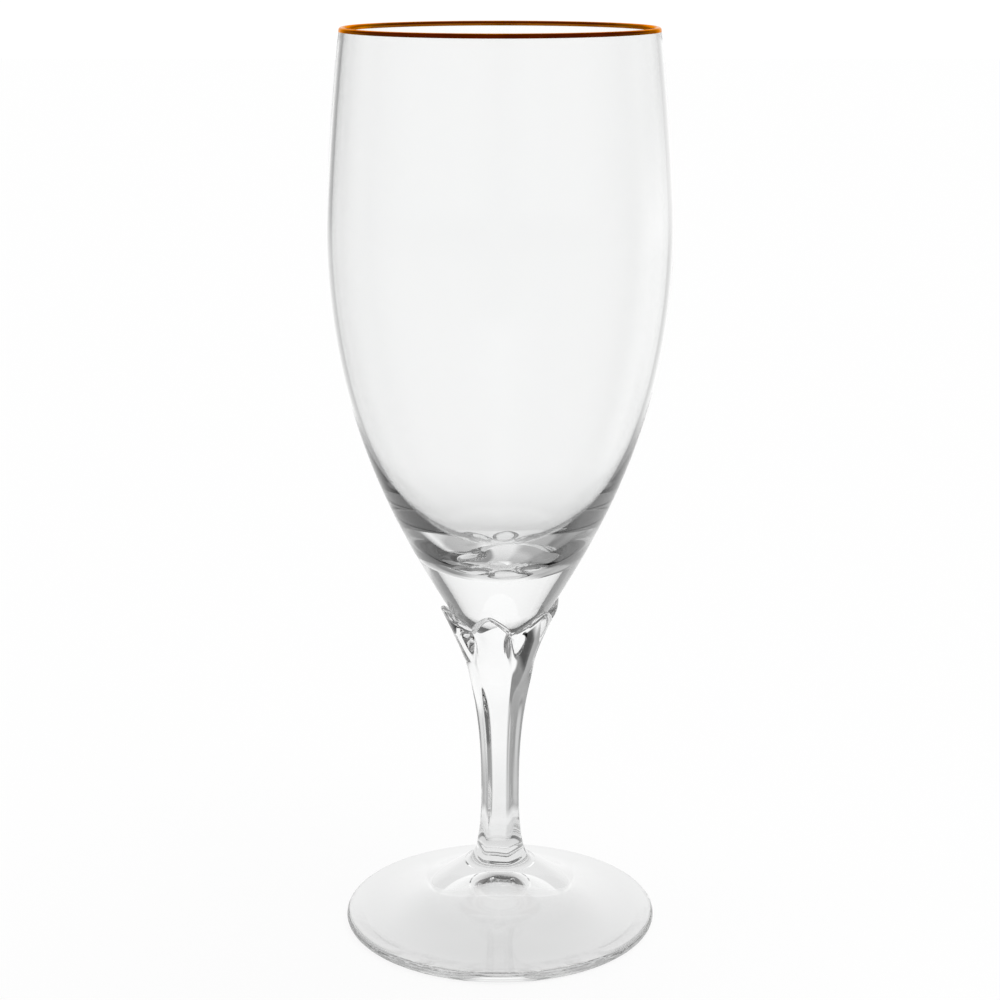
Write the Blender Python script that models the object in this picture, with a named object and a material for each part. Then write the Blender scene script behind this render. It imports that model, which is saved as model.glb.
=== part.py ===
"""Footed iced tea glass: blown bowl with a gilded lip, six-sided stem that ends in petals, and a cast foot.

Blender 4.5, metres, +Z up. The origin is the centre of the plane that the foot rests on, and -Y is the front.
A profile is a list of points, each a radius from the axis and a height.
"""
import math

import bmesh
import bpy
import numpy as np
from mathutils import Vector
from mathutils.geometry import interpolate_bezier

MM = 0.001

# Foot
FOOT_RADIUS = 39.0 * MM
FOOT_EDGE = 2.4 * MM                        # thickness of the rounded edge
FOOT_RISE = 15.0 * MM                       # height of the landing that the stem stands on
LANDING_LIP = 0.4 * MM                      # landing that shows round the stem's collar
FOOT_SHOULDER_REACH = 8.0 * MM              # steep stretch outside the landing
FOOT_SHOULDER_ANGLE = math.radians(34.0)
FOOT_BRIM_REACH = 16.0 * MM                 # flat stretch inside the edge
FOOT_BRIM_ANGLE = math.radians(8.0)
REST_WIDTH = 3.5 * MM                       # flat ring that the foot rests on
FOOT_CORE = 5.5 * MM                        # glass between the landing and the hollow under the foot
HOLLOW_CROWN_REACH = 8.0 * MM               # level crown of that hollow
HOLLOW_BRIM_REACH = 12.0 * MM               # flat stretch of the hollow inside the rest ring
HOLLOW_BRIM_ANGLE = math.radians(4.0)

# Stem
STEM_LENGTH = 57.4 * MM                     # from its collar to the seat of the bowl
COLLAR_RADIUS = 8.6 * MM
COLLAR_REACH = 3.4 * MM                     # stretch over which the collar turns up into the stem
COLLAR_ANGLE = math.radians(60.0)           # lean of the stem's side at the collar
WAIST_RISE = 19.7 * MM                      # narrowest height, above the collar
WAIST_RADIUS = 4.81 * MM                    # across the ridges between the flat panels
LOWER_WAIST_REACH = 12.0 * MM               # slender stretch below the waist
RIDGE_REACH = 27.4 * MM                     # slender stretch of a ridge above the waist
PANEL_REACH = 21.6 * MM                     # and of a panel
PANELS = 6
PANEL_TURN = math.radians(-11.0)            # the front panel faces this far to the left of the front
RIDGE_ROUNDING = 0.12                       # roundness of the ridges, as a share of half a panel's width

# Petals, with heights above the seat of the bowl
PETAL_TIP_RISE = 10.1 * MM
PETAL_THICKNESS = 1.7 * MM                  # at the tip
PETAL_FLARE = math.radians(26.5)            # lean of a panel at its petal's tip
PETAL_REACH = 19.7 * MM                     # stretch over which a panel takes that lean
PETAL_ROUNDING = 0.2                        # roundness of the tip, as a share of half a petal's width
PETAL_CROWN = 0.5                           # rise of the petal's rounded edge, as a share of its thickness
NOTCH_RISE = 3.8 * MM                       # bottom of the notches, where the ridges end
NOTCH_THICKNESS = 0.8 * MM
NOTCH_LEAN = math.radians(6.9)              # inward lean of a ridge at its notch
NOTCH_REACH = 12.7 * MM                     # stretch over which a ridge takes that lean
GROOVE_LENGTH = 11.0 * MM                   # below a notch the ridge sinks into a groove over this length
PANEL_POWER = 2.0                           # how a section rises towards its ridges: 2 is a flat panel
GROOVE_POWER = 6.0                          # and at the notches, where the panels are rounded petals

# Bowl
BASE_RADIUS = 3.0 * MM                      # flat bottom of the solid base
BASE_LEAN = math.radians(58.0)              # lean of the side at the flat bottom
BASE_REACH = 3.0 * MM                       # stretch over which the side leaves the flat bottom
HEEL_RISE = 10.0 * MM                       # from the flat bottom to the heel, where the petals end
HEEL_RADIUS = 13.1 * MM
HEEL_LEAN = math.radians(30.9)              # lean of the side at the heel
HEEL_FALL = 3.5 * MM                        # stretch that keeps this lean below the heel
HEEL_REACH = 21.5 * MM                      # and above it
BELLY_RISE = 91.0 * MM                      # from the heel to the widest height
BELLY_RADIUS = 40.9 * MM
BELLY_REACH = 43.7 * MM                     # stretch over which the side comes up to the belly
SHOULDER_REACH = 8.0 * MM                   # and over which it leaves the belly
LIP_RISE = 46.75 * MM                       # from the widest height to the gilded lip
LIP_RADIUS = 37.2 * MM                      # outside, below the gilded lip
LIP_LEAN = math.radians(7.0)                # inward lean of the wall at the lip
LIP_REACH = 16.0 * MM                       # stretch over which the wall takes that lean
WALL = 1.3 * MM
BASE_THICKNESS = 21.5 * MM                  # solid glass below the cavity
THIN_WALL_LENGTH = 82.0 * MM                # the wall keeps its thickness this far below the lip
SIDE_REACH = 23.0 * MM                      # stretch over which the inside leaves the wall
FLOOR_REACH = 20.6 * MM                     # and over which it levels out on the floor

# Gilded lip
BAND_WIDTH = 1.1 * MM                       # height of the gold on each side of the wall
BAND_THICKNESS = 0.12 * MM

# Clearances between neighbouring pieces
JOINT_GAP = 0.3 * MM
BAND_GAP = 0.15 * MM

# Facets
SEGMENT_COUNT = 48
SHORT_CURVE_COUNT = 9
LONG_CURVE_COUNT = 15
FINE_CURVE_COUNT = 80
ROUND_COUNT = 7
CROWN_COUNT = 3
SEAT_RING_COUNT = 6
COLLAR_CROWDING = 1.5                       # how far the stem's lower rings crowd towards its collar
MERGE_DISTANCE = 0.001 * MM
SHARP_ANGLE = math.radians(40.0)

# Heights and sizes that follow
COLLAR_HEIGHT = FOOT_RISE + JOINT_GAP
WAIST_HEIGHT = COLLAR_HEIGHT + WAIST_RISE
SEAT_HEIGHT = COLLAR_HEIGHT + STEM_LENGTH
NOTCH_HEIGHT = SEAT_HEIGHT + NOTCH_RISE
PETAL_TIP_HEIGHT = SEAT_HEIGHT + PETAL_TIP_RISE
BOWL_BOTTOM = SEAT_HEIGHT + JOINT_GAP
HEEL_HEIGHT = BOWL_BOTTOM + HEEL_RISE
BELLY_HEIGHT = HEEL_HEIGHT + BELLY_RISE
LIP_HEIGHT = BELLY_HEIGHT + LIP_RISE
FLOOR_HEIGHT = BOWL_BOTTOM + BASE_THICKNESS
THIN_WALL_END = LIP_HEIGHT - THIN_WALL_LENGTH
BAND_DROP = BAND_WIDTH - WALL / 2           # straight sides of the gold below its round top
PANEL_PITCH = 2 * math.pi / PANELS
GROOVE_HEIGHT = NOTCH_HEIGHT - GROOVE_LENGTH


def point(radius, height):
    return Vector((radius, height))


def lean(angle):
    """Unit step up a side that leans out from upright by an angle."""
    return point(math.sin(angle), math.cos(angle))


def curve(start, start_handle, end_handle, end, count):
    """Points of a smooth curve between two ends, drawn out by their handles."""
    return [point(*p[:2]) for p in interpolate_bezier(start, start_handle, end_handle, end, count)]


def arc(centre, radius, start, end, count):
    """Points of a round between two angles, counted from the outward direction towards upright."""
    angles = np.linspace(start, end, count)
    return [centre + radius * point(math.cos(a), math.sin(a)) for a in angles]


def radius_at(profile, height):
    """Radius at a height of a profile that climbs all the way."""
    return float(np.interp(height, [p.y for p in profile], [p.x for p in profile]))


def clear_scene():
    for item in list(bpy.data.objects):
        bpy.data.objects.remove(item, do_unlink=True)


def principled(name, colour, roughness, metallic=0.0, transmission=0.0, ior=1.5):
    material = bpy.data.materials.new(name)
    material.use_nodes = True
    shader = material.node_tree.nodes["Principled BSDF"]
    shader.inputs["Base Color"].default_value = (*colour, 1.0)
    shader.inputs["Roughness"].default_value = roughness
    shader.inputs["Metallic"].default_value = metallic
    shader.inputs["Transmission Weight"].default_value = transmission
    shader.inputs["IOR"].default_value = ior
    return material


def clear_glass(name):
    return principled(name, (0.95, 0.96, 0.96), 0.02, transmission=1.0, ior=1.52)


def fired_gold(name):
    return principled(name, (0.80, 0.33, 0.05), 0.22, metallic=1.0)


def add_piece(name, bm, material, assembly):
    """Close the mesh, point its faces out and add it to the assembly as a smooth shaded piece."""
    bmesh.ops.remove_doubles(bm, verts=bm.verts, dist=MERGE_DISTANCE)
    bmesh.ops.recalc_face_normals(bm, faces=bm.faces)
    mesh = bpy.data.meshes.new(name)
    bm.to_mesh(mesh)
    bm.free()
    mesh.shade_smooth()
    mesh.set_sharp_from_angle(angle=SHARP_ANGLE)
    mesh.materials.append(material)
    piece = bpy.data.objects.new(name, mesh)
    bpy.context.scene.collection.objects.link(piece)
    piece.parent = assembly


def add_turned(name, profile, material, assembly, closed=False):
    """Spin a profile about the axis. One that isn't closed starts and ends on the axis."""
    bm = bmesh.new()
    verts = [bm.verts.new((p.x, 0.0, p.y)) for p in profile]
    edges = [bm.edges.new(pair) for pair in zip(verts, verts[1:])]
    if closed:
        edges.append(bm.edges.new((verts[-1], verts[0])))
    bmesh.ops.spin(bm, geom=verts + edges, cent=(0, 0, 0), axis=(0, 0, 1), angle=2 * math.pi,
                   steps=SEGMENT_COUNT, use_merge=True)
    add_piece(name, bm, material, assembly)


def add_lofted(name, rings, material, assembly):
    """Bridge rings of points into one skin and close its two ends."""
    bm = bmesh.new()
    loops = []
    for ring in rings:
        verts = [bm.verts.new(p) for p in ring]
        loops.append([bm.edges.new(pair) for pair in zip(verts, verts[1:] + verts[:1])])
    for lower, upper in zip(loops, loops[1:]):
        bmesh.ops.bridge_loops(bm, edges=lower + upper)
    for end in (loops[0], loops[-1]):
        bmesh.ops.contextual_create(bm, geom=end)
    add_piece(name, bm, material, assembly)


# Foot


def foot_profile():
    """Landing, domed top, rounded edge, rest ring and hollow, from the axis round to the axis."""
    landing = point(COLLAR_RADIUS + LANDING_LIP, FOOT_RISE)
    edge_middle = point(FOOT_RADIUS - FOOT_EDGE / 2, FOOT_EDGE / 2)
    edge = arc(edge_middle, FOOT_EDGE / 2, math.pi / 2 - FOOT_BRIM_ANGLE, -math.pi / 2, ROUND_COUNT)
    shoulder = lean(math.pi / 2 + FOOT_SHOULDER_ANGLE) * FOOT_SHOULDER_REACH
    brim = lean(math.pi / 2 + FOOT_BRIM_ANGLE) * FOOT_BRIM_REACH
    top = curve(landing, landing + shoulder, edge[0] - brim, edge[0], SHORT_CURVE_COUNT)
    hollow_edge = point(edge_middle.x - REST_WIDTH, 0)
    hollow_brim = lean(HOLLOW_BRIM_ANGLE - math.pi / 2) * HOLLOW_BRIM_REACH
    crown = point(0, FOOT_RISE - FOOT_CORE)
    crown_handle = crown + point(HOLLOW_CROWN_REACH, 0)
    hollow = curve(hollow_edge, hollow_edge + hollow_brim, crown_handle, crown, SHORT_CURVE_COUNT)
    return [point(0, FOOT_RISE), *top, *edge[1:], *hollow]


# Bowl and its gilded lip


def below_heel(count):
    """Outside of the bowl from the rim of its flat bottom up to its heel."""
    base = point(BASE_RADIUS, BOWL_BOTTOM)
    heel = point(HEEL_RADIUS, HEEL_HEIGHT)
    return curve(base, base + lean(BASE_LEAN) * BASE_REACH, heel - lean(HEEL_LEAN) * HEEL_FALL, heel, count)


def above_heel(count):
    """Outside of the bowl from its heel up to its belly."""
    heel = point(HEEL_RADIUS, HEEL_HEIGHT)
    belly = point(BELLY_RADIUS, BELLY_HEIGHT)
    return curve(heel, heel + lean(HEEL_LEAN) * HEEL_REACH, belly - lean(0) * BELLY_REACH, belly, count)


def bowl_outside():
    """Outside of the bowl, from the rim of its flat bottom up to the gilded lip."""
    lower = [*below_heel(SHORT_CURVE_COUNT), *above_heel(LONG_CURVE_COUNT)[1:]]
    belly = lower[-1]
    lip = point(LIP_RADIUS, LIP_HEIGHT)
    shoulder = belly + lean(0) * SHOULDER_REACH
    upper = curve(belly, shoulder, lip - lean(-LIP_LEAN) * LIP_REACH, lip, SHORT_CURVE_COUNT)
    return [*lower, *upper[1:]]


def bowl_inside():
    """Inside of the bowl, from the gilded lip down to the middle of its floor."""
    outside = bowl_outside()[::-1]
    steps = [-lean(-LIP_LEAN), *[(b - a).normalized() for a, b in zip(outside, outside[2:])]]
    thin = [(p, s) for p, s in zip(outside, steps) if p.y > THIN_WALL_END]
    wall = [p + point(s.y, -s.x) * WALL for p, s in thin]
    floor = point(0, FLOOR_HEIGHT)
    floor_handle = floor + point(FLOOR_REACH, 0)
    side_handle = wall[-1] + thin[-1][1] * SIDE_REACH
    hollow = curve(wall[-1], side_handle, floor_handle, floor, LONG_CURVE_COUNT)
    return [*wall, *hollow[1:]]


def lip_section(inset, drop):
    """Lip outline set in from the wall's faces: up its outside, over its round top and down its inside."""
    up = lean(-LIP_LEAN)
    out = point(up.y, -up.x)
    top_middle = point(LIP_RADIUS, LIP_HEIGHT) - out * (WALL / 2) + up * (BAND_GAP + BAND_DROP)
    top = arc(top_middle, WALL / 2 - inset, LIP_LEAN, math.pi + LIP_LEAN, ROUND_COUNT)
    return [top[0] - up * drop, *top, top[-1] - up * drop]


def bowl_profile():
    """The bowl from the axis round to the axis, with its lip set back under the gold."""
    lip = lip_section(BAND_THICKNESS + BAND_GAP, BAND_DROP + BAND_GAP)
    return [point(0, BOWL_BOTTOM), *bowl_outside(), *lip, *bowl_inside()]


def band_profile():
    """Closed section of the gold: over the lip on the outside and back under itself."""
    skin = lip_section(0, BAND_DROP)
    lining = lip_section(BAND_THICKNESS, BAND_DROP)
    return [*skin, *lining[::-1]]


# Stem with its petals


def seat_side():
    """Inside of the petals, clear of the bowl's outside."""
    outside = [*below_heel(FINE_CURVE_COUNT), *above_heel(FINE_CURVE_COUNT)[1:]]
    steps = [(b - a).normalized() for a, b in zip(outside, outside[1:])]
    return [p + point(s.y, -s.x) * JOINT_GAP for p, s in zip(outside, steps)]


def stem_side(waist_radius, waist_reach, top, top_lean, top_reach):
    """Side of the stem from its collar through its waist to a point at the petals."""
    collar = point(COLLAR_RADIUS, COLLAR_HEIGHT)
    collar_handle = collar + lean(-COLLAR_ANGLE) * COLLAR_REACH
    waist = point(waist_radius, WAIST_HEIGHT)
    lower_handle = waist - lean(0) * LOWER_WAIST_REACH
    upper_handle = waist + lean(0) * waist_reach
    top_handle = top - lean(top_lean) * top_reach
    lower = curve(collar, collar_handle, lower_handle, waist, FINE_CURVE_COUNT)
    upper = curve(waist, upper_handle, top_handle, top, FINE_CURVE_COUNT)
    return [*lower, *upper[1:]]


def ridge_side(seat):
    """Side of the stem along a ridge, carried on above its notch along the seat."""
    notch = point(radius_at(seat, NOTCH_HEIGHT) + NOTCH_THICKNESS, NOTCH_HEIGHT)
    above = point(radius_at(seat, PETAL_TIP_HEIGHT) + NOTCH_THICKNESS, PETAL_TIP_HEIGHT)
    return [*stem_side(WAIST_RADIUS, RIDGE_REACH, notch, -NOTCH_LEAN, NOTCH_REACH), above]


def panel_side(seat):
    """Side of the stem along the middle of a panel, up to its petal's tip."""
    flat_radius = WAIST_RADIUS * math.cos(PANEL_PITCH / 2)
    tip = point(radius_at(seat, PETAL_TIP_HEIGHT) + PETAL_THICKNESS, PETAL_TIP_HEIGHT)
    return stem_side(flat_radius, PANEL_REACH, tip, PETAL_FLARE, PETAL_REACH)


def off_panel(turn):
    """How far a turn about the axis is from the middle of its panel: 0 in the middle, 1 on a ridge."""
    from_middle = (turn - PANEL_TURN + PANEL_PITCH / 2) % PANEL_PITCH - PANEL_PITCH / 2
    return abs(from_middle) / (PANEL_PITCH / 2)


def rounded(distance, rounding):
    """Even run from 0 to 1 with its start rounded off."""
    return (math.hypot(distance, rounding) - rounding) / (math.hypot(1, rounding) - rounding)


def petal_edge(turn):
    """Height of the petals' edge at a turn: rounded tips on the panels, notches at the ridges."""
    return PETAL_TIP_HEIGHT - (PETAL_TIP_HEIGHT - NOTCH_HEIGHT) * rounded(off_panel(turn), PETAL_ROUNDING)


def stem_rings():
    """Rings of the stem's skin: up its side, over the petals' edge and down into the seat."""
    seat = seat_side()
    ridge = ridge_side(seat)
    panel = panel_side(seat)
    turns = PANEL_TURN + np.arange(SEGMENT_COUNT) * 2 * math.pi / SEGMENT_COUNT

    def placed(turn, radius, height):
        return (radius * math.sin(turn), -radius * math.cos(turn), height)

    def side(turn, height):
        power = np.interp(height, (GROOVE_HEIGHT, NOTCH_HEIGHT), (PANEL_POWER, GROOVE_POWER))
        on_ridge = (1 - rounded(1 - off_panel(turn), RIDGE_ROUNDING)) ** power
        return on_ridge * radius_at(ridge, height) + (1 - on_ridge) * radius_at(panel, height)

    def side_ring(low, high, share):
        heights = [low + (high(t) - low) * share for t in turns]
        return [placed(t, side(t, h), h) for t, h in zip(turns, heights)]

    def crown_point(turn, angle):
        edge = petal_edge(turn)
        thickness = side(turn, edge) - radius_at(seat, edge)
        height = edge + thickness * PETAL_CROWN * math.sin(angle)
        return placed(turn, radius_at(seat, height) + thickness * (1 + math.cos(angle)) / 2, height)

    def seat_ring(share):
        heights = [SEAT_HEIGHT + (petal_edge(t) - SEAT_HEIGHT) * share for t in turns]
        return [placed(t, radius_at(seat, h), h) for t, h in zip(turns, heights)]

    lower_shares = np.linspace(0, 1, SHORT_CURVE_COUNT) ** COLLAR_CROWDING
    crown_angles = np.linspace(0, math.pi, CROWN_COUNT + 2)[1:-1]
    rings = [side_ring(COLLAR_HEIGHT, lambda turn: WAIST_HEIGHT, s) for s in lower_shares]
    rings += [side_ring(WAIST_HEIGHT, petal_edge, s) for s in np.linspace(0, 1, LONG_CURVE_COUNT)[1:]]
    rings += [[crown_point(t, a) for t in turns] for a in crown_angles]
    rings += [seat_ring(s) for s in np.linspace(1, 0, SEAT_RING_COUNT)]
    return rings


def main():
    clear_scene()
    assembly = bpy.data.objects.new("iced_tea_glass", None)
    bpy.context.scene.collection.objects.link(assembly)
    add_turned("foot", foot_profile(), clear_glass("foot_glass"), assembly)
    add_lofted("stem", stem_rings(), clear_glass("stem_glass"), assembly)
    add_turned("bowl", bowl_profile(), clear_glass("bowl_glass"), assembly)
    add_turned("rim_band", band_profile(), fired_gold("rim_gold"), assembly, closed=True)


main()
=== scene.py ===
"""Looks of a footed iced tea glass: clear bowl, petalled stem, domed foot, gilded lip and a white studio.

Metres, +Z up. Every profile is an array of points, each a radius from the axis and a height.
"""
import math

import bpy
import numpy as np
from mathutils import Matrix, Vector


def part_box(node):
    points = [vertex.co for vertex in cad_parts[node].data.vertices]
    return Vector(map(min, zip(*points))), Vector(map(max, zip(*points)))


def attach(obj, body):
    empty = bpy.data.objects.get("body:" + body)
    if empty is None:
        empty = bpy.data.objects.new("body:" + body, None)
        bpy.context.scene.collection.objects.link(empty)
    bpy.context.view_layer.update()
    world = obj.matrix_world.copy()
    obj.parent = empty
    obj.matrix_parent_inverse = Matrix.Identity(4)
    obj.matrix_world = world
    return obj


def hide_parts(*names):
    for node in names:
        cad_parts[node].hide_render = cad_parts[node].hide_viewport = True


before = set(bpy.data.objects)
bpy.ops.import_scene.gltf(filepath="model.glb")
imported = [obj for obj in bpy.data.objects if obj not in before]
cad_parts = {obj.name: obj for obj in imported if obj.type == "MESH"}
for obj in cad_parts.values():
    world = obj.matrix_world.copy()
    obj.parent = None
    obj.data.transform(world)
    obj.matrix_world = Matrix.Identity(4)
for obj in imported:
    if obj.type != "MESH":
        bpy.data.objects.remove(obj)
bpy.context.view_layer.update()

bl_info = {
    "name": "Iced Tea Glass",
    "version": (1, 0, 0),
    "blender": (4, 5, 0),
    "location": "View3D > Sidebar > Tea Glass",
    "description": "Builds the pieces of a footed iced tea glass and a white studio around it",
    "category": "Object",
}

BODY = "root"
GLASS_SLOT = "clear_glass"
GOLD_SLOT = "fired_gold"
TAU = 2 * math.pi
PANELS = 6
PITCH = TAU / PANELS

# Facets
TURNS = 192
JOINT_RINGS = 20
HEEL_RINGS = 12
COLLAR_RINGS = 40
PANEL_RINGS = 70
CROWN_RINGS = 7
ROUND_POINTS = 24
SMOOTH_POINTS = 60
FINE_POINTS = 400
CARD_POINTS = 48
SHARP_ANGLE = math.radians(28.0)

# Shares and powers of the shapes
FLAT_POWER = 2.0
COLLAR_POWER = 1.5
HEEL_SHARE = 1 / 3
LINING_SHARE = 0.8

# Finishes: grains in waves to the metre, relief in metres
BLOWN_GRAIN = (40.0, 40.0, 14.0)
BLOWN_RIPPLE = 0.00003
PRESSED_GRAIN = (90.0, 90.0, 30.0)
PRESSED_RIPPLE = 0.00001
CAST_GRAIN = (60.0, 60.0, 60.0)
CAST_RIPPLE = 0.000007
GLASS_IOR = 1.52
GLASS_HAZE = 0.012
GLASS_TINT = (0.990, 0.996, 0.994, 1.0)
WHITE = (1.0, 1.0, 1.0, 1.0)
WEAR_GRAIN = (160.0, 160.0, 900.0)
WEAR_START = 0.35
WEAR_END = 0.55
WORN_ROUGHNESS = 0.22
POLISHED_ROUGHNESS = 0.06
SPECK_SCALE = 2500.0
SPECK_HEIGHT = 0.000004

# Shade on the table: reach in foot radii, shares of that reach, levels, and drops below the foot in metres
SHADE_REACH = 1.55
SHADE_CORE = 0.54
SHADE_FADE = 0.82
SHADE_SLOPE = 0.08
SHADE_RIM_LEVEL = 0.90
SHADE_DROP = 0.00001
FLOOR_DROP = 0.00002

# Cards round the glass: reaches in foot radii, turns in degrees from the back, the rest in metres
CARD_DISTANCE = 0.16
CARD_HEIGHTS = (0.145, 0.26)
CARD_TURNS = (-64.0, -26.0)
RING_REACH = 1.6
RING_HEIGHTS = (0.0, 0.045)
RING_TURNS = (-180.0, 180.0)
PALE_REACH = 1.2
PALE_HEIGHTS = (0.0, 0.035)
PALE_TURNS = (-26.0, 26.0)
WARM_DISTANCE = 0.12
WARM_HEIGHTS = (0.235, 0.5)
WARM_TURNS = (62.0, 298.0)

# Lamp
LAMP_SPREAD = math.radians(60.0)
LAMP_LEAN = (math.radians(-8.0), math.radians(12.0), 0.0)

# Limits between counts of a ray's passes through glass, or of its bounces
NONE_YET = 0.5
ONE_WALL = 2.5
TWO_WALLS = 3.5
FEW_BOUNCES = 2.5

# Numbers of a glass piece's materials
CLEAR = 0
JOINT = 1


def node_low(node, axis):
    return float(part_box(node)[0][axis])


def node_high(node, axis):
    return float(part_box(node)[1][axis])


def length(label, description, default):
    return bpy.props.FloatProperty(name=label, description=description, default=default, precision=5,
                                   unit="LENGTH")


def angle(label, description, degrees):
    return bpy.props.FloatProperty(name=label, description=description, default=math.radians(degrees),
                                   subtype="ANGLE")


def share(label, description, default):
    return bpy.props.FloatProperty(name=label, description=description, default=default, min=0.0, max=1.0,
                                   subtype="FACTOR")


def number(label, description, default):
    return bpy.props.FloatProperty(name=label, description=description, default=default, precision=3)


def colour(label, description, default):
    return bpy.props.FloatVectorProperty(name=label, description=description, default=default, size=3,
                                         min=0.0, max=1.0, subtype="COLOR")


class TEAGLASS_PG_bowl(bpy.types.PropertyGroup):
    """Sizes of the blown bowl"""

    bottom: length("Bottom", "Height of the flat bottom of the solid base", node_low("bowl", 2))
    base_radius: length("Base radius", "Radius of the flat bottom", 0.003)
    base_lean: angle("Base lean", "Lean of the side at the flat bottom, from upright", 58.0)
    base_reach: length("Base reach", "Stretch over which the side leaves the flat bottom", 0.003)
    heel_rise: length("Heel rise", "Height of the heel, where the petals end, above the flat bottom", 0.010)
    heel_radius: length("Heel radius", "Outside radius of the heel", 0.01309)
    heel_lean: angle("Heel lean", "Lean of the side at the heel, from upright", 30.9)
    heel_fall: length("Heel fall", "Stretch below the heel that keeps this lean", 0.0035)
    heel_reach: length("Heel reach", "Stretch above the heel that keeps this lean", 0.0215)
    belly_rise: length("Belly rise", "Height of the widest place above the heel", 0.091)
    belly_radius: length("Belly radius", "Radius of the widest place", node_high("bowl", 0))
    belly_reach: length("Belly reach", "Stretch over which the side comes up to the belly", 0.0437)
    shoulder_reach: length("Shoulder reach", "Stretch over which the side leaves the belly", 0.008)
    lip_radius: length("Lip radius", "Outside radius just below the gilding", 0.0372)
    lip_lean: angle("Lip lean", "Inward lean of the wall at the lip", 7.0)
    lip_reach: length("Lip reach", "Stretch over which the wall takes that lean", 0.016)
    wall: length("Wall", "Thickness of the wall", 0.0013)
    base_thickness: length("Base thickness", "Solid glass under the cavity", 0.0215)
    thin_wall: length("Thin wall", "The wall keeps its thickness this far below the lip", 0.082)
    side_reach: length("Side reach", "Stretch over which the inside leaves the wall", 0.023)
    floor_reach: length("Floor reach", "Stretch over which the inside levels out on the floor", 0.0206)


class TEAGLASS_PG_stem(bpy.types.PropertyGroup):
    """Sizes of the six-sided stem and its petals"""

    collar_radius: length("Collar radius", "Radius of the round collar on the foot", 0.0086)
    collar_reach: length("Collar reach", "Stretch over which the collar turns up into the stem", 0.0034)
    collar_angle: angle("Collar angle", "Lean of the side at the collar", 60.0)
    waist_height: length("Waist height", "Height of the narrowest place", 0.035)
    waist_radius: length("Waist radius", "Radius across the ridges at the waist", 0.00481)
    lower_reach: length("Lower reach", "Slender stretch below the waist", 0.012)
    ridge_reach: length("Ridge reach", "Stretch over which a ridge leaves the waist", 0.0274)
    notch_reach: length("Notch reach", "Stretch over which a ridge comes up to its notch", 0.0127)
    notch_lean: angle("Notch lean", "Inward lean of a ridge at its notch", 6.9)
    notch_rise: length("Notch rise", "Height of the notches above the bowl's bottom", 0.0035)
    notch_thickness: length("Notch thickness", "Thickness of the glass at a notch", 0.0012)
    panel_turn: angle("Panel turn", "Turn of the front panel away from the front", -11.0)
    panel_reach: length("Panel reach", "Stretch over which a panel leaves the waist", 0.0216)
    petal_reach: length("Petal reach", "Stretch over which a panel comes up to its petal's tip", 0.0197)
    petal_lean: angle("Petal lean", "Lean of a panel at its petal's tip", 26.5)
    tip_rise: length("Tip rise", "Height of the petals' tips above the bowl's bottom", 0.0098)
    tip_radius: length("Tip radius", "Radius of the petals' tips", 0.0150)
    tip_rounding: share("Tip rounding", "Roundness of a petal's tip", 0.2)
    groove_length: length("Groove length", "Stretch below a notch where its ridge sinks to a groove", 0.0110)
    groove_power: number("Groove power", "Sharpness of the grooves at the notches; 2 is a flat panel", 6.0)
    edge_crown: share("Edge crown", "Height of a petal's rounded edge over its thickness", 0.5)
    ridge_rounding: share("Ridge rounding", "Roundness of the ridges", 0.12)


class TEAGLASS_PG_foot(bpy.types.PropertyGroup):
    """Sizes of the cast foot"""

    radius: length("Radius", "Outside radius of the foot", node_high("foot", 0))
    edge: length("Edge", "Thickness of the rounded edge", 0.0024)
    rise: length("Rise", "Height of the landing under the stem", node_high("foot", 2))
    landing_lip: length("Landing lip", "Landing that shows round the collar", 0.0004)
    shoulder_reach: length("Shoulder reach", "Steep stretch outside the landing", 0.008)
    shoulder_angle: angle("Shoulder angle", "Fall of the top at the landing", 34.0)
    brim_reach: length("Brim reach", "Flat stretch inside the edge", 0.016)
    brim_angle: angle("Brim angle", "Fall of the top at the edge", 8.0)
    rest_width: length("Rest width", "Flat ring that the foot rests on", 0.0035)
    core: length("Core", "Glass between the landing and the hollow", 0.0055)
    crown_reach: length("Crown reach", "Level crown of the hollow", 0.008)
    hollow_reach: length("Hollow reach", "Flat stretch of the hollow inside the rest ring", 0.012)
    hollow_angle: angle("Hollow angle", "Rise of the hollow at the rest ring", 4.0)


class TEAGLASS_PG_gilding(bpy.types.PropertyGroup):
    """Sizes and colours of the gilded lip"""

    top: length("Top", "Height of the top of the gold", node_high("rim_band", 2))
    width: length("Width", "Height of the gold on each side of the wall", 0.0011)
    thickness: length("Thickness", "Thickness of the gold", 0.00004)
    gold: colour("Gold", "Colour of the burnished gold", (0.80, 0.26, 0.015))
    worn_gold: colour("Worn gold", "Colour of the gold where it is rubbed thin", (0.60, 0.17, 0.01))
    edge_gold: colour("Edge gold", "Tint of the gold where it is seen edge on", (0.95, 0.55, 0.18))


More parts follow.
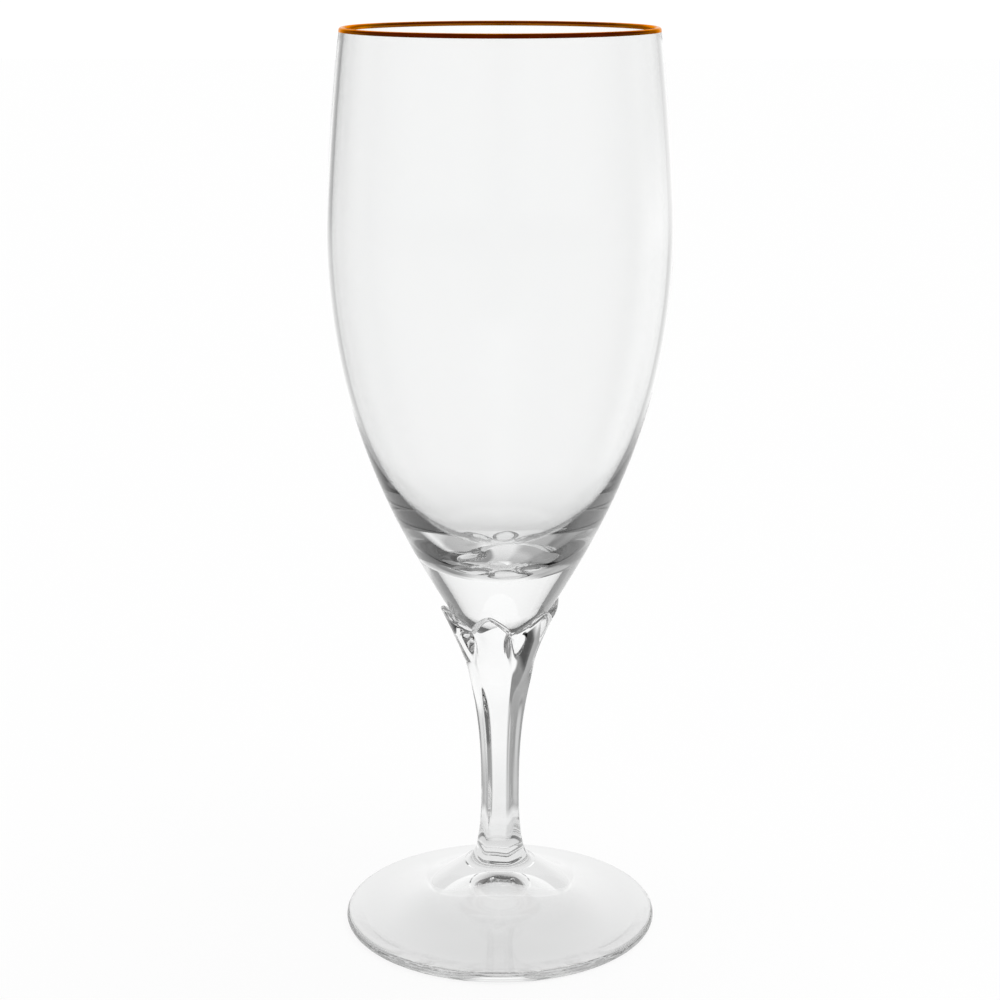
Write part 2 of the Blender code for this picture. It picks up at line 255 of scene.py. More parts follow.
class TEAGLASS_PG_stage(bpy.types.PropertyGroup):
    """Camera, floor and light"""

    camera_distance: length("Camera distance", "Distance of the camera in front of the axis", 0.5074)
    camera_height: length("Camera height", "Height of the camera", 0.2419)
    camera_tilt: angle("Camera tilt", "Fall of the camera's view", 14.65)
    camera_lens: number("Lens", "Focal length in millimetres on a 36 mm sensor", 77.62)
    floor_size: length("Floor size", "Width of the floor", 8.0)
    floor_white: colour("Floor white", "Colour of the floor", (0.93, 0.93, 0.93))
    floor_glow: share("Floor glow", "Share of the floor's white that takes no shadow", 0.9)
    lamp_strength: number("Lamp strength", "Strength of the soft lamp overhead", 2.3)
    backdrop_level: number("Backdrop level", "Brightness of the backdrop behind the glass", 1.05)
    left_level: share("Left level", "Brightness of the studio on the left, next to the backdrop's", 0.27)
    right_level: share("Right level", "Brightness of the studio on the right", 0.30)
    front_level: share("Front level", "Brightness of the studio behind the camera", 0.13)
    mirror_level: share("Mirror level", "Brightness behind the camera as polish and gold show it", 0.10)
    mirror_colour: colour("Mirror colour", "Tint of the warm card that polish shows", (1.0, 0.30, 0.10))
    table_level: share("Table level", "Brightness of the table on both sides", 0.32)
    near_table_level: share("Near table level", "Brightness of the table below the camera", 0.62)
    edge_level: share("Edge level", "Brightness of the studio where the edges of the bowl show it", 0.72)
    ring_level: share("Ring level", "Brightness round the foot as its edge shows it", 0.38)
    pale_level: share("Pale level", "Brightness behind the foot as its dome shows it", 0.84)
    top_level: share("Top level", "Brightness overhead, next to that at eye level", 0.45)
    low_level: share("Low level", "Brightness straight below, next to that at eye level", 0.55)
    shade_level: share("Shade level", "Brightness of the table in the shade under the foot", 0.76)


# Shapes


def point(radius, height):
    return np.array([radius, height])


def lean(turn):
    """Unit step up a side that leans out from upright by an angle."""
    return point(math.sin(turn), math.cos(turn))


def curve(start, start_handle, end_handle, end, count):
    """Points of a smooth curve between two ends, drawn out by their handles."""
    t = np.linspace(0.0, 1.0, count)[:, None]
    s = 1.0 - t
    return s ** 3 * start + 3 * s * s * t * start_handle + 3 * s * t * t * end_handle + t ** 3 * end


def arc(centre, radius, start, end, count):
    """Points of a round between two angles, counted from the outward direction towards upright."""
    turns = np.linspace(start, end, count)
    return centre + radius * np.stack([np.cos(turns), np.sin(turns)], axis=1)


def radius_at(profile, height):
    """Radius at a height of a profile that climbs all the way."""
    return np.interp(height, profile[:, 1], profile[:, 0])


def around():
    """Turns about the axis, counted from the front towards +X, with one on each ridge of the stem."""
    return bpy.context.scene.teaglass_stem.panel_turn + np.arange(TURNS) * TAU / TURNS


def ring(radius, height):
    """Points round the axis. Radius and height are numbers, or one number for each turn."""
    turns = around()
    radius = np.broadcast_to(radius, turns.shape)
    height = np.broadcast_to(height, turns.shape)
    return np.stack([radius * np.sin(turns), -radius * np.cos(turns), height], axis=1)


def turned_rings(profile):
    return [ring(p[0], p[1]) for p in profile]


def skin(name, rings, bands, start=None, end=None):
    """Mesh through rings of points, with a material number for each band between two rings.

    start and end close the skin on the axis, each with a height and a material number. Without them the last
    ring is joined to the first.
    """
    points = np.vstack(rings)
    first = np.arange(TURNS)
    following = np.roll(first, -1)
    faces = []
    numbers = []
    for i, band in enumerate(bands):
        low = i * TURNS
        high = (i + 1) % len(rings) * TURNS
        faces += np.stack([low + first, low + following, high + following, high + first], axis=1).tolist()
        numbers += [band] * TURNS
    if start and end:
        top = len(points) - TURNS
        points = np.vstack([points, (0.0, 0.0, start[0]), (0.0, 0.0, end[0])])
        faces += [(b, a, len(points) - 2) for a, b in zip(first, following)]
        faces += [(top + a, top + b, len(points) - 1) for a, b in zip(first, following)]
        numbers += [start[1]] * TURNS + [end[1]] * TURNS
    mesh = bpy.data.meshes.new(name)
    mesh.from_pydata(points.tolist(), [], faces)
    mesh.polygons.foreach_set("material_index", numbers)
    mesh.shade_smooth()
    mesh.set_sharp_from_angle(angle=SHARP_ANGLE)
    if mesh.validate():
        raise RuntimeError(name + " has faulty faces")
    piece = bpy.data.objects.new(name, mesh)
    bpy.context.scene.collection.objects.link(piece)
    return piece


def bowl_outside(bowl, gilding):
    """Outside of the bowl from the rim of its flat bottom up to the gilding, closely spaced."""
    base = point(bowl.base_radius, bowl.bottom)
    heel = point(bowl.heel_radius, bowl.bottom + bowl.heel_rise)
    belly = point(bowl.belly_radius, heel[1] + bowl.belly_rise)
    lip = point(bowl.lip_radius, gilding.top - gilding.width)
    heel_step = lean(bowl.heel_lean)
    base_handle = base + lean(bowl.base_lean) * bowl.base_reach
    below = curve(base, base_handle, heel - heel_step * bowl.heel_fall, heel, FINE_POINTS)
    belly_handle = belly - lean(0.0) * bowl.belly_reach
    above = curve(heel, heel + heel_step * bowl.heel_reach, belly_handle, belly, FINE_POINTS)
    shoulder = belly + lean(0.0) * bowl.shoulder_reach
    upper = curve(belly, shoulder, lip - lean(-bowl.lip_lean) * bowl.lip_reach, lip, FINE_POINTS)
    return np.vstack([below, above[1:], upper[1:]])


def spaced(profile, count):
    """Points evenly spaced along a profile, with both of its ends."""
    run = np.concatenate([[0.0], np.cumsum(np.linalg.norm(np.diff(profile, axis=0), axis=1))])
    at = np.linspace(0.0, run[-1], count)
    return np.stack([np.interp(at, run, profile[:, i]) for i in range(2)], axis=1)


def bowl_inside(bowl, gilding):
    """Inside of the bowl from the gilding down to the middle of its floor."""
    outside = bowl_outside(bowl, gilding)[::-1]
    steps = np.gradient(outside, axis=0)
    steps /= np.linalg.norm(steps, axis=1)[:, None]
    thin = outside[:, 1] > gilding.top - bowl.thin_wall
    inward = np.stack([steps[:, 1], -steps[:, 0]], axis=1)
    wall = (outside + inward * bowl.wall)[thin]
    side_handle = wall[-1] + steps[thin][-1] * bowl.side_reach
    floor = point(0.0, bowl.bottom + bowl.base_thickness)
    hollow = curve(wall[-1], side_handle, floor + point(bowl.floor_reach, 0.0), floor, SMOOTH_POINTS)
    return np.vstack([spaced(wall, SMOOTH_POINTS), hollow[1:]])


def lip_section(bowl, gilding, inset):
    """Lip outline set in from the wall's faces: up its outside, over its round top and down its inside."""
    up = lean(-bowl.lip_lean)
    out = point(up[1], -up[0])
    drop = gilding.width - bowl.wall / 2
    middle = point(bowl.lip_radius, gilding.top - gilding.width) - out * (bowl.wall / 2) + up * drop
    top = arc(middle, bowl.wall / 2 - inset, bowl.lip_lean, math.pi + bowl.lip_lean, ROUND_POINTS)
    return np.vstack([top[0] - up * drop, top, top[-1] - up * drop])


def off_panel(stem):
    """How far each turn is from the middle of its panel: 0 in the middle, 1 on a ridge."""
    from_middle = (around() - stem.panel_turn + PITCH / 2) % PITCH - PITCH / 2
    return np.abs(from_middle) / (PITCH / 2)


def rounded(distance, rounding):
    """Even run from 0 to 1, with its start rounded off."""
    return (np.hypot(distance, rounding) - rounding) / (math.hypot(1.0, rounding) - rounding)


def petal_edge(stem, bowl):
    """Height of the petals' edge at each turn."""
    fall = rounded(off_panel(stem), stem.tip_rounding) * (stem.tip_rise - stem.notch_rise)
    return bowl.bottom + stem.tip_rise - fall


def stem_side(stem, foot, waist_radius, waist_reach, top, top_lean, top_reach):
    """Side of the stem from its collar through its waist to a point at the petals."""
    collar = point(stem.collar_radius, foot.rise)
    collar_handle = collar + lean(-stem.collar_angle) * stem.collar_reach
    waist = point(waist_radius, stem.waist_height)
    lower = curve(collar, collar_handle, waist - lean(0.0) * stem.lower_reach, waist, FINE_POINTS)
    top_handle = top - lean(top_lean) * top_reach
    upper = curve(waist, waist + lean(0.0) * waist_reach, top_handle, top, FINE_POINTS)
    return np.vstack([lower, upper[1:]])


# Finishes


def new_material(name):
    material = bpy.data.materials.new(name)
    material.use_nodes = True
    return material, material.node_tree.nodes, material.node_tree.links


def joined(nodes, links, kind, settings, **sources):
    """Node of a kind, with settings on its sockets by name and other nodes' outputs led into it."""
    node = nodes.new(kind)
    for name, value in settings.items():
        node.inputs[name].default_value = value
    for name, source in sources.items():
        links.new(source, node.inputs[name.replace("_", " ")])
    return node


def object_place(nodes, links, scale):
    """Place on the piece, drawn out or squeezed along each axis."""
    place = nodes.new("ShaderNodeTexCoord").outputs["Object"]
    mapping = joined(nodes, links, "ShaderNodeMapping", {"Scale": scale}, Vector=place)
    return mapping.outputs["Vector"]


def colours_of(nodes, links, value, colours):
    """Colour read from pairs of a place between 0 and 1 and the colour there."""
    ramp = nodes.new("ShaderNodeValToRGB")
    stops = ramp.color_ramp.elements
    while len(stops) < len(colours):
        stops.new(1.0)
    for stop, (place, shade) in zip(stops, colours):
        stop.position = place
        stop.color = shade
    links.new(value, ramp.inputs["Fac"])
    return ramp.outputs["Color"]


def clear_glass(name, grain, ripple):
    """Colourless fire-polished glass, with ripples of a height and a trace of haze along a grain."""
    material, nodes, links = new_material(name)
    place = object_place(nodes, links, grain)
    noise = joined(nodes, links, "ShaderNodeTexNoise", {"Scale": 1.0, "Detail": 1.0}, Vector=place)
    waves = noise.outputs["Fac"]
    relief = joined(nodes, links, "ShaderNodeBump", {"Strength": 1.0, "Distance": ripple}, Height=waves)
    haze = joined(nodes, links, "ShaderNodeMapRange", {"To Min": 0.0, "To Max": GLASS_HAZE}, Value=waves)
    tint = colours_of(nodes, links, waves, [(0.0, GLASS_TINT), (1.0, WHITE)])
    shader = nodes["Principled BSDF"]
    shader.inputs["IOR"].default_value = GLASS_IOR
    shader.inputs["Transmission Weight"].default_value = 1.0
    links.new(tint, shader.inputs["Base Color"])
    links.new(haze.outputs["Result"], shader.inputs["Roughness"])
    links.new(relief.outputs["Normal"], shader.inputs["Normal"])
    return material


def fused_joint():
    """Where two pieces of glass are melted into one there is no surface to see."""
    material = bpy.data.materials.get("fused joint")
    if material:
        return material
    material, nodes, links = new_material("fused joint")
    nodes.remove(nodes["Principled BSDF"])
    clear = nodes.new("ShaderNodeBsdfTransparent")
    links.new(clear.outputs["BSDF"], nodes["Material Output"].inputs["Surface"])
    return material


def fired_gold(gilding):
    """Burnished gold, rubbed thin in patches and polished along the lip."""
    material, nodes, links = new_material("fired gold")
    noise = joined(nodes, links, "ShaderNodeTexNoise", {"Scale": 1.0, "Detail": 4.0},
                   Vector=object_place(nodes, links, WEAR_GRAIN))
    patches = noise.outputs["Fac"]
    wear = colours_of(nodes, links, patches, [(WEAR_START, (*gilding.worn_gold, 1.0)),
                                              (WEAR_END, (*gilding.gold, 1.0))])
    rubbing = joined(nodes, links, "ShaderNodeMapRange",
                     {"To Min": WORN_ROUGHNESS, "To Max": POLISHED_ROUGHNESS}, Value=patches)
    specks = joined(nodes, links, "ShaderNodeTexNoise", {"Scale": SPECK_SCALE, "Detail": 2.0},
                    Vector=object_place(nodes, links, (1.0, 1.0, 1.0)))
    relief = joined(nodes, links, "ShaderNodeBump", {"Strength": 1.0, "Distance": SPECK_HEIGHT},
                    Height=specks.outputs["Fac"])
    shader = nodes["Principled BSDF"]
    shader.inputs["Metallic"].default_value = 1.0
    shader.inputs["Specular Tint"].default_value = (*gilding.edge_gold, 1.0)
    links.new(wear, shader.inputs["Base Color"])
    links.new(rubbing.outputs["Result"], shader.inputs["Roughness"])
    links.new(relief.outputs["Normal"], shader.inputs["Normal"])
    return material


# Pieces


def fit(piece, node, slot, *materials):
    """Seat a piece on the frame in place of its node, in its finish."""
    for material in materials:
        piece.data.materials.append(material)
    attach(piece, BODY)
    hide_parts(node)


class TEAGLASS_OT_bowl(bpy.types.Operator):
    """Build the clear bowl"""

    bl_idname = "teaglass.bowl"
    bl_label = "Bowl"

    def execute(self, context):
        bowl = context.scene.teaglass_bowl
        stem = context.scene.teaglass_stem
        gilding = context.scene.teaglass_gilding
        outside = bowl_outside(bowl, gilding)
        edge = petal_edge(stem, bowl)
        clear_of_petals = bowl.bottom + stem.tip_rise + stem.groove_length * HEEL_SHARE

        def side_ring(low, high, part):
            height = low + (high - low) * part
            return ring(radius_at(outside, height), height)

        rings = [side_ring(bowl.bottom, edge, s) for s in np.linspace(0.0, 1.0, JOINT_RINGS)]
        bands = [JOINT] * (JOINT_RINGS - 1)
        rings += [side_ring(edge, clear_of_petals, s) for s in np.linspace(0.0, 1.0, HEEL_RINGS)[1:]]
        above = outside[outside[:, 1] >= clear_of_petals]
        rings += turned_rings(spaced(above, 2 * SMOOTH_POINTS)[1:-1])
        rings += turned_rings(lip_section(bowl, gilding, gilding.thickness))
        inside = bowl_inside(bowl, gilding)
        rings += turned_rings(inside[1:-1])
        bands += [CLEAR] * (len(rings) - 1 - len(bands))
        piece = skin("glass_bowl", rings, bands, start=(bowl.bottom, JOINT), end=(inside[-1][1], CLEAR))
        blown = clear_glass("blown glass", BLOWN_GRAIN, BLOWN_RIPPLE)
        fit(piece, "bowl", GLASS_SLOT, blown, fused_joint())
        return {"FINISHED"}


class TEAGLASS_OT_stem(bpy.types.Operator):
    """Build the six-sided stem and its petals"""

    bl_idname = "teaglass.stem"
    bl_label = "Stem"

    def execute(self, context):
        bowl = context.scene.teaglass_bowl
        stem = context.scene.teaglass_stem
        foot = context.scene.teaglass_foot
        seat = bowl_outside(bowl, context.scene.teaglass_gilding)
        edge = petal_edge(stem, bowl)
        tip = point(stem.tip_radius, bowl.bottom + stem.tip_rise)
        notch_height = bowl.bottom + stem.notch_rise
        notch = point(radius_at(seat, notch_height) + stem.notch_thickness, notch_height)
        above_notch = point(radius_at(seat, tip[1]) + stem.notch_thickness, tip[1])
        ridge = stem_side(stem, foot, stem.waist_radius, stem.ridge_reach, notch, -stem.notch_lean,
                          stem.notch_reach)
        ridge = np.vstack([ridge, above_notch])
        flat_radius = stem.waist_radius * math.cos(PITCH / 2)
        panel = stem_side(stem, foot, flat_radius, stem.panel_reach, tip, stem.petal_lean, stem.petal_reach)
        near_ridge = 1.0 - rounded(1.0 - off_panel(stem), stem.ridge_rounding)

        def side_radius(height):
            groove = (notch_height - stem.groove_length, notch_height)
            power = np.interp(height, groove, (FLAT_POWER, stem.groove_power))
            on_ridge = near_ridge ** power
            return on_ridge * radius_at(ridge, height) + (1.0 - on_ridge) * radius_at(panel, height)

        def side_ring(low, high, part):
            height = np.broadcast_to(low + (high - low) * part, edge.shape)
            return ring(side_radius(height), height)

        def seat_ring(part):
            height = bowl.bottom + (edge - bowl.bottom) * part
            return ring(radius_at(seat, height), height)

        thickness = side_radius(edge) - radius_at(seat, edge)

        def crown_ring(turn):
            height = edge + thickness * stem.edge_crown * math.sin(turn)
            return ring(radius_at(seat, height) + thickness * (1 + math.cos(turn)) / 2, height)

        collar_parts = np.linspace(0.0, 1.0, COLLAR_RINGS) ** COLLAR_POWER
        rings = [side_ring(foot.rise, stem.waist_height, s) for s in collar_parts]
        rings += [side_ring(stem.waist_height, edge, s) for s in np.linspace(0.0, 1.0, PANEL_RINGS)[1:]]
        rings += [crown_ring(turn) for turn in np.linspace(0.0, math.pi, CROWN_RINGS + 2)[1:-1]]
        bands = [CLEAR] * len(rings)
        rings += [seat_ring(s) for s in np.linspace(1.0, 0.0, JOINT_RINGS)]
        bands += [JOINT] * (JOINT_RINGS - 1)
        piece = skin("petal_stem", rings, bands, start=(foot.rise, JOINT), end=(bowl.bottom, JOINT))
        pressed = clear_glass("pressed stem glass", PRESSED_GRAIN, PRESSED_RIPPLE)
        fit(piece, "stem", GLASS_SLOT, pressed, fused_joint())
        return {"FINISHED"}


class TEAGLASS_OT_foot(bpy.types.Operator):
    """Build the domed foot"""

    bl_idname = "teaglass.foot"
    bl_label = "Foot"

    def execute(self, context):
        foot = context.scene.teaglass_foot
        stem = context.scene.teaglass_stem
        collar = point(stem.collar_radius, foot.rise)
        landing = collar + point(foot.landing_lip, 0.0)
        edge_middle = point(foot.radius - foot.edge / 2, foot.edge / 2)
        edge = arc(edge_middle, foot.edge / 2, -math.pi / 2, math.pi / 2 - foot.brim_angle, ROUND_POINTS)
        brim = edge[-1] - lean(math.pi / 2 + foot.brim_angle) * foot.brim_reach
        shoulder = landing + lean(math.pi / 2 + foot.shoulder_angle) * foot.shoulder_reach
        top = curve(edge[-1], brim, shoulder, landing, SMOOTH_POINTS)
        crown = point(0.0, foot.rise - foot.core)
        hollow_edge = point(edge_middle[0] - foot.rest_width, 0.0)
        hollow_brim = hollow_edge + lean(foot.hollow_angle - math.pi / 2) * foot.hollow_reach
        hollow = curve(crown, crown + point(foot.crown_reach, 0.0), hollow_brim, hollow_edge, SMOOTH_POINTS)
        rings = turned_rings(np.vstack([hollow[1:], edge, top[1:], collar]))
        bands = [CLEAR] * (len(rings) - 1)
        piece = skin("domed_foot", rings, bands, start=(crown[1], CLEAR), end=(foot.rise, JOINT))
        cast = clear_glass("cast foot glass", CAST_GRAIN, CAST_RIPPLE)
        fit(piece, "foot", GLASS_SLOT, cast, fused_joint())
        return {"FINISHED"}


class TEAGLASS_OT_gilding(bpy.types.Operator):
    """Build the gilded lip"""

    bl_idname = "teaglass.gilding"
    bl_label = "Gilded lip"

    def execute(self, context):
        bowl = context.scene.teaglass_bowl
        gilding = context.scene.teaglass_gilding
        face = lip_section(bowl, gilding, 0.0)
        lining = lip_section(bowl, gilding, gilding.thickness * LINING_SHARE)
        rings = turned_rings(np.vstack([face, lining[::-1]]))
        piece = skin("lip_gilding", rings, [CLEAR] * len(rings))
        fit(piece, "rim_band", GOLD_SLOT, fired_gold(gilding))
        return {"FINISHED"}


# Stage

# Places in the studio: degrees of rise from level, or of turn from the back to the right, each with a share
FAR_TABLE_RISE = [(-22.0, 0.0), (-17.0, 1.0)]
BACKDROP_RISE = [(-9.0, 0.0), (-5.0, 1.0)]
SIDES_RISE = [(-34.0, 0.0), (-28.0, 1.0), (6.0, 1.0), (10.0, 0.0)]
SIDES_TURN = [(-50.0, 0.0), (-42.0, 1.0), (-17.0, 1.0), (-10.0, 0.0),
              (10.0, 0.0), (17.0, 1.0), (42.0, 1.0), (50.0, 0.0)]
SCREEN_RISE = [(-9.0, 0.0), (-6.0, 1.0), (18.0, 1.0), (21.0, 0.0)]
SCREEN_TURN = [(-40.0, 0.0), (-37.0, 1.0), (-20.0, 1.0), (-17.0, 0.0)]
AHEAD_TURN = [(-115.0, 0.0), (-95.0, 1.0), (95.0, 1.0), (115.0, 0.0)]
MIRROR_RISE = [(-6.0, 0.0), (0.0, 1.0)]
STEEP_RISE = [(-31.0, 1.0), (-29.0, 0.0)]

# White strips of the studio, in degrees of turn
LEFT_STRIP = -45.0
OTHER_STRIPS = (-90.0, 135.0)
STRIP_CORE = 5.0
STRIP_FADE = 11.0
WIDE_STRIP_FADE = 30.0

# Brightness of the dark screen on the left against degrees of rise
SCREEN_LEVELS = [(5.0, 0.27), (9.0, 0.08)]


def studio_levels(stage):
    """Brightness over the table against degrees from the back to the right: a white back and grey sides."""
    return [(-180.0, stage.front_level), (-150.0, stage.front_level), (-75.0, stage.left_level),
            (-52.0, 0.32), (-40.0, 0.38), (-34.0, 1.0), (50.0, 1.0),
            (75.0, stage.right_level), (150.0, stage.front_level), (180.0, stage.front_level)]


def table_levels(stage):
    """The same for the far side of the table."""
    return [(-180.0, stage.front_level), (-160.0, stage.table_level), (-90.0, stage.table_level),
            (-38.0, 0.34), (-34.0, 0.62), (-16.0, 0.68), (-10.0, 0.96), (14.0, 0.96), (22.0, 0.74),
            (50.0, 0.68), (65.0, stage.table_level), (160.0, stage.table_level), (180.0, stage.front_level)]


def near_levels(stage):
    """The same for the table round the glass, which is in the shade on the right."""
    return [(-180.0, stage.near_table_level), (-150.0, stage.table_level), (-90.0, stage.table_level),
            (-50.0, 0.36), (-41.0, 0.52), (-35.0, 0.62), (-16.0, 0.68), (-10.0, 0.88), (10.0, 0.88),
            (20.0, 0.40), (60.0, 0.38), (75.0, stage.table_level), (150.0, stage.table_level),
            (180.0, stage.near_table_level)]


def through_levels(stage):
    """The same as the thin walls of the bowl show it, alike on both sides."""
    return [(-180.0, stage.front_level), (-75.0, stage.left_level), (-58.0, stage.edge_level),
            (-30.0, stage.edge_level), (-18.0, 1.0), (18.0, 1.0), (30.0, stage.edge_level),
            (58.0, stage.edge_level), (75.0, stage.right_level), (180.0, stage.front_level)]


def mirror_levels(stage):
    """The same as it shows in the polish of the glass and the gold."""
    return [(-180.0, stage.mirror_level), (-75.0, stage.mirror_level), (-36.0, 0.40), (-22.0, 1.0),
            (22.0, 1.0), (36.0, 0.40), (75.0, stage.mirror_level), (180.0, stage.mirror_level)]


def mirror_table_levels(stage):
    """The same below eye level."""
    return [(-180.0, stage.mirror_level), (-75.0, stage.mirror_level), (-55.0, 0.5), (-20.0, 1.0),
            (65.0, 1.0), (80.0, stage.mirror_level), (180.0, stage.mirror_level)]


def rise_levels(stage):
    """Brightness against degrees of rise, next to that at eye level."""
    return [(-90.0, stage.low_level), (-30.0, 0.92), (-20.0, 1.0), (30.0, 1.0), (75.0, stage.top_level)]


def white_strips(fade, *middles):
    """Soft white strips, which the glass shows when it is looked through from another side."""
    levels = [(-180.0, 0.0), (180.0, 0.0)]
    for middle in middles:
        levels += [(middle - fade, 0.0), (middle - STRIP_CORE, 1.0), (middle + STRIP_CORE, 1.0),
                   (middle + fade, 0.0)]
    return sorted(levels)


def maths(nodes, links, operation, first, second, third=None):
    node = nodes.new("ShaderNodeMath")
    node.operation = operation
    for socket, value in zip(node.inputs, (first, second, third)):
        if isinstance(value, (int, float)):
            socket.default_value = value
        elif value:
            links.new(value, socket)
    return node.outputs[0]


def levels_of(nodes, links, value, levels):
    """Brightness read from pairs of a place between 0 and 1 and the level there."""
    return colours_of(nodes, links, value, [(place, (level, level, level, 1.0)) for place, level in levels])


def mixed(nodes, links, factor, first, second):
    """Finish a material with a mix of two shaders."""
    mix = nodes.new("ShaderNodeMixShader")
    links.new(factor, mix.inputs["Fac"])
    links.new(first, mix.inputs[1])
    links.new(second, mix.inputs[2])
    links.new(mix.outputs["Shader"], nodes["Material Output"].inputs["Surface"])


def unbounced(nodes, links, rays):
    """Rays that haven't bounced off or inside the glass."""
    return maths(nodes, links, "LESS_THAN", rays["Glossy Depth"], NONE_YET)


def round_inside(nodes, links, rays):
    """Rays that run round inside the glass before they leave it."""
    return maths(nodes, links, "GREATER_THAN", rays["Glossy Depth"], FEW_BOUNCES)


def off_the_polish(nodes, links, rays):
    """Rays that the outside of the glass or the gold mirrors."""
    return maths(nodes, links, "LESS_THAN", rays["Transmission Depth"], NONE_YET)


def through_one_wall(nodes, links, rays):
    """Rays that pass straight through the single wall of the open mouth."""
    single = maths(nodes, links, "LESS_THAN", rays["Transmission Depth"], ONE_WALL)
    return maths(nodes, links, "MULTIPLY", single, unbounced(nodes, links, rays))


def through_two_walls(nodes, links, rays):
    """Rays that pass in and out of the glass twice, as through both sides of the bowl."""
    return maths(nodes, links, "GREATER_THAN", rays["Transmission Depth"], TWO_WALLS)


def off_the_hollow(nodes, links, rays):
    """Rays that are turned upwards by the hollow under the foot."""
    bounced = maths(nodes, links, "COMPARE", rays["Glossy Depth"], 1.0)
    return maths(nodes, links, "MAXIMUM", bounced, through_two_walls(nodes, links, rays))


def studio_world(stage):
    """White to the camera, and to the glass a white back between grey sides."""
    world = bpy.data.worlds.new("studio")
    world.use_nodes = True
    nodes = world.node_tree.nodes
    links = world.node_tree.links
    rays = nodes.new("ShaderNodeLightPath").outputs
    direction = nodes.new("ShaderNodeTexCoord").outputs["Generated"]
    axes = joined(nodes, links, "ShaderNodeSeparateXYZ", {}, Vector=direction).outputs
    turn = maths(nodes, links, "ARCTAN2", axes["X"], axes["Y"])
    turn = maths(nodes, links, "MULTIPLY_ADD", turn, 1 / TAU, 0.5)
    rise = maths(nodes, links, "MULTIPLY_ADD", axes["Z"], 0.5, 0.5)

    def by_turn(levels):
        return levels_of(nodes, links, turn, [(degrees / 360 + 0.5, level) for degrees, level in levels])

    def by_rise(levels):
        places = [(math.sin(math.radians(degrees)) / 2 + 0.5, level) for degrees, level in levels]
        return levels_of(nodes, links, rise, places)

    def product(first, second):
        return maths(nodes, links, "MULTIPLY", first, second)

    def brighter(first, second):
        return maths(nodes, links, "MAXIMUM", first, second)

    def blend(mask, first, second):
        mix = nodes.new("ShaderNodeMix")
        links.new(mask, mix.inputs["Factor"])
        links.new(first, mix.inputs["A"])
        links.new(second, mix.inputs["B"])
        return mix.outputs["Result"]

    # Table near the glass, table further off, and the studio over it
    level = blend(by_rise(FAR_TABLE_RISE), by_turn(near_levels(stage)), by_turn(table_levels(stage)))
    level = blend(by_rise(BACKDROP_RISE), level, by_turn(studio_levels(stage)))

    # Sides of the backdrop, dimmer to rays that have bounced
    bounced = maths(nodes, links, "GREATER_THAN", rays["Glossy Depth"], NONE_YET)
    sides = product(bounced, product(by_rise(SIDES_RISE), by_turn(SIDES_TURN)))
    level = product(level, maths(nodes, links, "MULTIPLY_ADD", sides, stage.edge_level - 1.0, 1.0))

    # Dark screen on the left
    screen = product(by_turn(SCREEN_TURN), by_rise(SCREEN_RISE))
    level = blend(screen, level, by_rise(SCREEN_LEVELS))

    # What shows through both walls of the bowl, and what polish and gold mirror
    both_walls = through_two_walls(nodes, links, rays)
    level = blend(product(both_walls, by_turn(AHEAD_TURN)), level, by_turn(through_levels(stage)))
    mirror = blend(by_rise(MIRROR_RISE), by_turn(mirror_table_levels(stage)), by_turn(mirror_levels(stage)))
    level = blend(off_the_polish(nodes, links, rays), level, mirror)
    level = product(level, by_rise(rise_levels(stage)))
    level = product(level, stage.backdrop_level)

    # White strips for the other sides, and white to the camera
    off_stem = brighter(both_walls, by_rise(STEEP_RISE))
    left_strip = product(by_turn(white_strips(STRIP_FADE, LEFT_STRIP)), off_stem)
    strips = brighter(by_turn(white_strips(STRIP_FADE, *OTHER_STRIPS)), left_strip)
    wide_strips = product(by_turn(white_strips(WIDE_STRIP_FADE, *OTHER_STRIPS)), both_walls)
    strips = product(brighter(strips, wide_strips), unbounced(nodes, links, rays))
    level = brighter(brighter(level, strips), rays["Is Camera Ray"])
    background = nodes["Background"]
    background.inputs["Color"].default_value = WHITE
    links.new(level, background.inputs["Strength"])
    return world


def floor_paint(stage):
    """White paint that is plain white to the camera, apart from a share that takes the shadow."""
    material, nodes, links = new_material("floor paint")
    shader = nodes["Principled BSDF"]
    shader.inputs["Base Color"].default_value = (*stage.floor_white, 1.0)
    shader.inputs["Roughness"].default_value = 0.9
    shader.inputs["Specular IOR Level"].default_value = 0.0
    rays = nodes.new("ShaderNodeLightPath").outputs
    plain = maths(nodes, links, "MULTIPLY", rays["Is Camera Ray"], stage.floor_glow)
    white = joined(nodes, links, "ShaderNodeEmission", {"Strength": 1.0})
    mixed(nodes, links, plain, shader.outputs["BSDF"], white.outputs["Emission"])
    return material


def stage_piece(name, points, faces, material, *hidden):
    """Mesh of the stage, hidden from kinds of rays."""
    mesh = bpy.data.meshes.new(name)
    mesh.from_pydata(points, [], faces)
    mesh.materials.append(material)
    piece = bpy.data.objects.new(name, mesh)
    for kind in hidden:
        setattr(piece, "visible_" + kind, False)
    bpy.context.scene.collection.objects.link(piece)
    return piece


